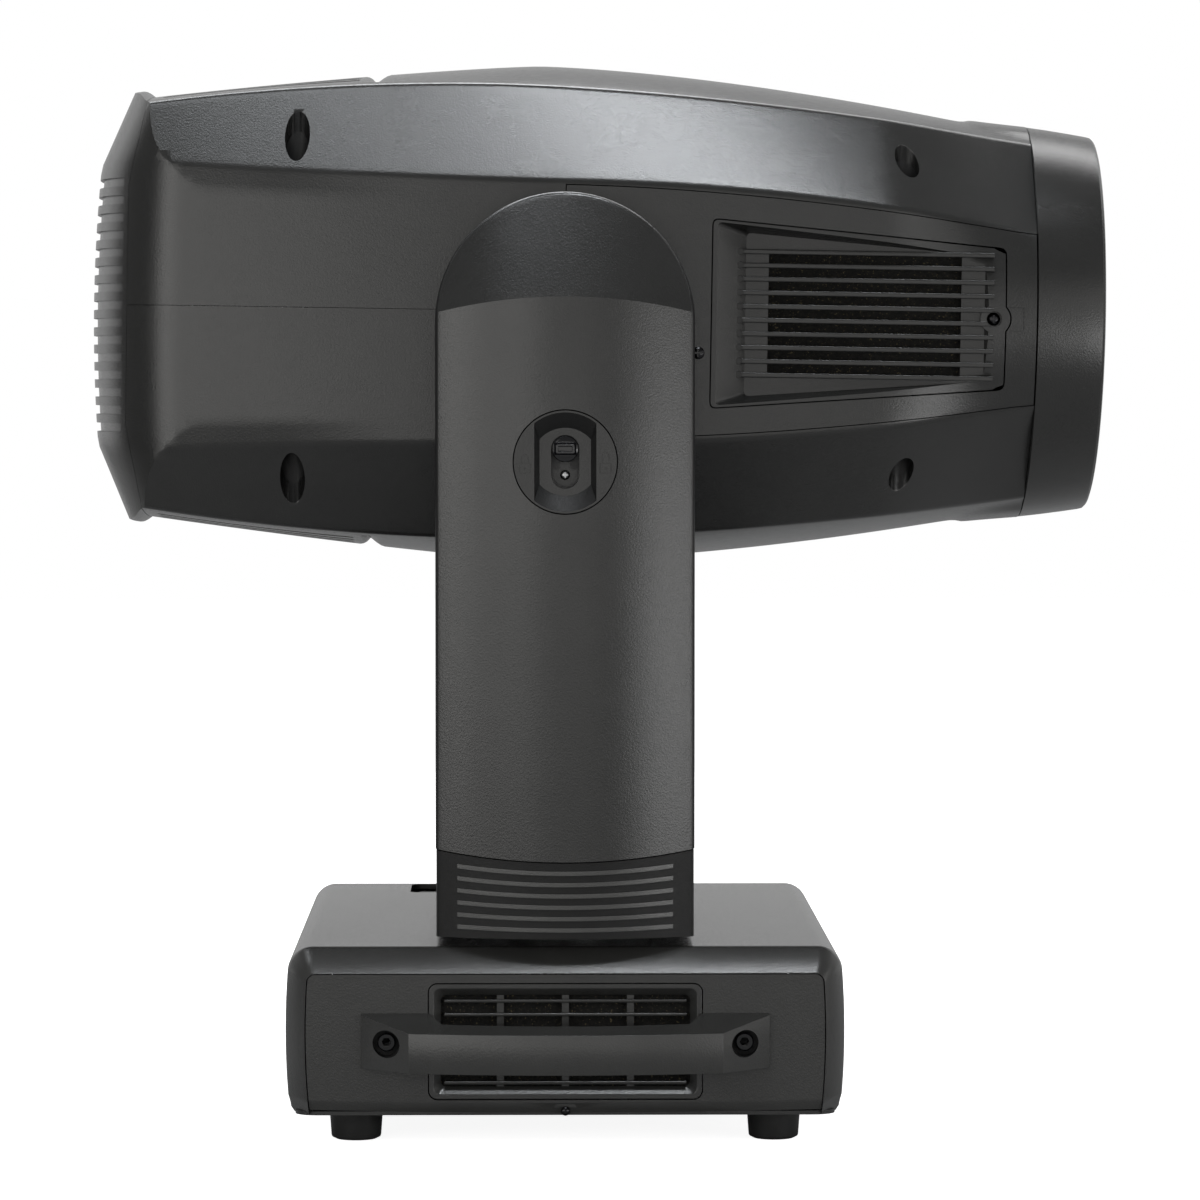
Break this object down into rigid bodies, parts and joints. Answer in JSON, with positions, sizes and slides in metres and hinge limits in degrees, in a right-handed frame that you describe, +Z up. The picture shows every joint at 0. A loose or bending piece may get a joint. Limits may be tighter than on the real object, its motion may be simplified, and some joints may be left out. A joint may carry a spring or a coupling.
{
  "type": "moving head light",
  "caption": "Moving head spotlight: a faceted barrel head tilts between two yoke arms that pan on a flat base with carrying handles, vents, locks and rubber feet.",
  "frame": {"origin": "on the pan axis, at the underside of the base plate", "axes": "+Z up along the pan axis, +X along the beam with the head level, +Y towards the left arm"},
  "size_m": [0.6014, 0.5226, 0.6251],
  "materials": {
    "cover": "fine moulded grain, satin",
    "skirt": "fine moulded grain, black",
    "gloss_black": "glossy",
    "foam": "open-cell filter foam",
    "rubber": "matt",
    "steel": "brushed",
    "sheet": "black powder coat",
    "alloy": "machined",
    "motor": "satin black",
    "glass": "polished",
    "screen": "polished"
  },
  "bodies": {
    "base": {"base_plate": "sheet", "base_shell": "cover", "base_side_panel_right": "cover", "base_side_panel_left": "cover", "base_grille_right": "cover", "base_grille_left": "cover", "handle_right": "cover", "handle_left": "cover", "foot_front_right": "rubber", "foot_front_left": "rubber", "foot_rear_right": "rubber", "foot_rear_left": "rubber", "control_panel": "gloss_black", "display_window": "screen", "connector_panel": "sheet", "power_inlet": "gloss_black", "data_in_socket": "alloy", "data_out_socket": "alloy", "power_supply": "sheet", "pan_motor": "motor", "pan_belt": "rubber", "pan_bearing": "steel"},
    "pan_motor_pulley": {"pan_motor_pulley": "alloy"},
    "pan_lock": {"pan_lock_slider": "gloss_black"},
    "button_up": {"menu_button_up": "skirt"},
    "button_down": {"menu_button_down": "skirt"},
    "button_back": {"menu_button_back": "skirt"},
    "button_enter": {"menu_button_enter": "skirt"},
    "yoke": {"pan_spindle": "alloy", "yoke_frame": "sheet", "arm_cover_outer_right": "cover", "arm_cover_outer_left": "cover", "arm_skirt_right": "skirt", "arm_skirt_left": "skirt", "arm_cover_inner_right": "cover", "arm_cover_inner_left": "cover", "bridge_cover": "cover", "tilt_lock_bezel": "skirt", "tilt_motor": "motor", "tilt_belt": "rubber"},
    "tilt_motor_pulley": {"tilt_motor_pulley": "alloy"},
    "tilt_lock": {"tilt_lock_slider": "gloss_black"},
    "head": {"head_chassis": "sheet", "head_top_cover": "cover", "head_bottom_cover": "cover", "top_vent": "cover", "bottom_vent": "cover", "head_side_panel_right": "cover", "head_side_panel_left": "cover", "side_grille_right": "cover", "side_grille_left": "cover", "rear_cap": "cover", "front_bezel": "cover", "front_lens": "glass", "light_engine": "alloy"},
    "cooling_fan": {"cooling_fan": "skirt"},
    "color_wheel": {"color_wheel": "steel"},
    "gobo_wheel": {"gobo_wheel": "steel"},
    "zoom_carriage": {"zoom_carriage": "alloy"},
    "focus_carriage": {"focus_carriage": "alloy"}
  },
  "joints": [
    {"name": "pan", "type": "hinge", "parent": "base", "child": "yoke", "pos_m": [0, 0, 0.1], "axis": [0, 0, 1], "range_deg": [-270, 270]},
    {"name": "tilt", "type": "hinge", "parent": "yoke", "child": "head", "pos_m": [0, 0, 0.4587], "axis": [0, 1, 0], "range_deg": [-225, 45]},
    {"name": "pan_motor_spin", "type": "hinge", "parent": "base", "child": "pan_motor_pulley", "pos_m": [-0.098, 0, 0.071], "axis": [0, 0, 1], "range_deg": [-1360, 1360]},
    {"name": "tilt_motor_spin", "type": "hinge", "parent": "yoke", "child": "tilt_motor_pulley", "pos_m": [0, 0.163, 0.33], "axis": [0, 1, 0], "range_deg": [-780, 160]},
    {"name": "pan_lock", "type": "slide", "parent": "base", "child": "pan_lock", "axis": [0, 1, 0], "range_m": [0, 0.03]},
    {"name": "tilt_lock", "type": "slide", "parent": "yoke", "child": "tilt_lock", "axis": [0, 0, -1], "range_m": [0, 0.0145]},
    {"name": "press_up", "type": "slide", "parent": "base", "child": "button_up", "axis": [-1, 0, 0], "range_m": [0, 0.0015], "stiffness_N_per_m": 400, "springref_m": -0.0005},
    {"name": "press_down", "type": "slide", "parent": "base", "child": "button_down", "axis": [-1, 0, 0], "range_m": [0, 0.0015], "stiffness_N_per_m": 400, "springref_m": -0.0005},
    {"name": "press_back", "type": "slide", "parent": "base", "child": "button_back", "axis": [-1, 0, 0], "range_m": [0, 0.0015], "stiffness_N_per_m": 400, "springref_m": -0.0005},
    {"name": "press_enter", "type": "slide", "parent": "base", "child": "button_enter", "axis": [-1, 0, 0], "range_m": [0, 0.0015], "stiffness_N_per_m": 400, "springref_m": -0.0005},
    {"name": "fan_spin", "type": "hinge", "parent": "head", "child": "cooling_fan", "pos_m": [-0.23997, 0, 0.46268], "axis": [0.9999, 0, -0.0166], "continuous": true},
    {"name": "color_wheel_spin", "type": "hinge", "parent": "head", "child": "color_wheel", "pos_m": [-0.07899, 0.034, 0.46001], "axis": [0.9999, 0, -0.0166], "continuous": true},
    {"name": "gobo_wheel_spin", "type": "hinge", "parent": "head", "child": "gobo_wheel", "pos_m": [-0.04899, -0.034, 0.45951], "axis": [0.9999, 0, -0.0166], "continuous": true},
    {"name": "zoom", "type": "slide", "parent": "head", "child": "zoom_carriage", "axis": [0.9999, 0, -0.0166], "range_m": [0, 0.05]},
    {"name": "focus", "type": "slide", "parent": "head", "child": "focus_carriage", "axis": [0.9999, 0, -0.0166], "range_m": [-0.01, 0.03]}
  ],
  "couplings": [
    {"joint": "pan_motor_spin", "follows": "pan", "ratio": 5},
    {"joint": "tilt_motor_spin", "follows": "tilt", "ratio": 3.4545}
  ]
}
